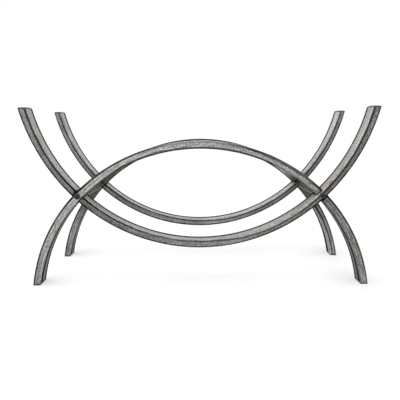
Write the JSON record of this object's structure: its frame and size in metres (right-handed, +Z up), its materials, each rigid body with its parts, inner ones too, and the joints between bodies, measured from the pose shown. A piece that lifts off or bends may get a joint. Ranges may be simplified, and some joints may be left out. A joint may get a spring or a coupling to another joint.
{
  "type": "firewood rack",
  "caption": "Open firewood rack of bent steel tube: arches as legs and cradles for the logs, halved into each other where they cross and bolted to tie bars.",
  "frame": {"origin": "on the floor, in the middle of the rack's width and depth", "axes": "+X along the width to the right, +Z up, the front frame at -Y"},
  "size_m": [0.9074, 0.2792, 0.47],
  "materials": {
    "tube_coat": "graphite grey coat, finely streaked along the tube, darker along its corners",
    "black_steel": "black oxide, slightly glossy",
    "zinc_steel": "plain zinc plated steel, hidden inside the tubes",
    "cap_plastic": "dark moulded plastic, matt"
  },
  "bodies": {
    "root": {"front_arch": "tube_coat", "front_cradle": "tube_coat", "rear_arch": "tube_coat", "rear_cradle": "tube_coat", "left_tie_bar": "tube_coat", "right_tie_bar": "tube_coat", "front_left_tie_plug": "zinc_steel", "front_right_tie_plug": "zinc_steel", "rear_left_tie_plug": "zinc_steel", "rear_right_tie_plug": "zinc_steel", "front_left_bolt": "black_steel", "front_right_bolt": "black_steel", "rear_left_bolt": "black_steel", "rear_right_bolt": "black_steel", "front_left_washer": "black_steel", "front_right_washer": "black_steel", "rear_left_washer": "black_steel", "rear_right_washer": "black_steel", "front_left_sleeve": "zinc_steel", "front_right_sleeve": "zinc_steel", "rear_left_sleeve": "zinc_steel", "rear_right_sleeve": "zinc_steel", "front_left_tip_cap": "cap_plastic", "front_right_tip_cap": "cap_plastic", "rear_left_tip_cap": "cap_plastic", "rear_right_tip_cap": "cap_plastic", "front_left_foot_cap": "cap_plastic", "front_right_foot_cap": "cap_plastic", "rear_left_foot_cap": "cap_plastic", "rear_right_foot_cap": "cap_plastic"}
  },
  "joints": []
}
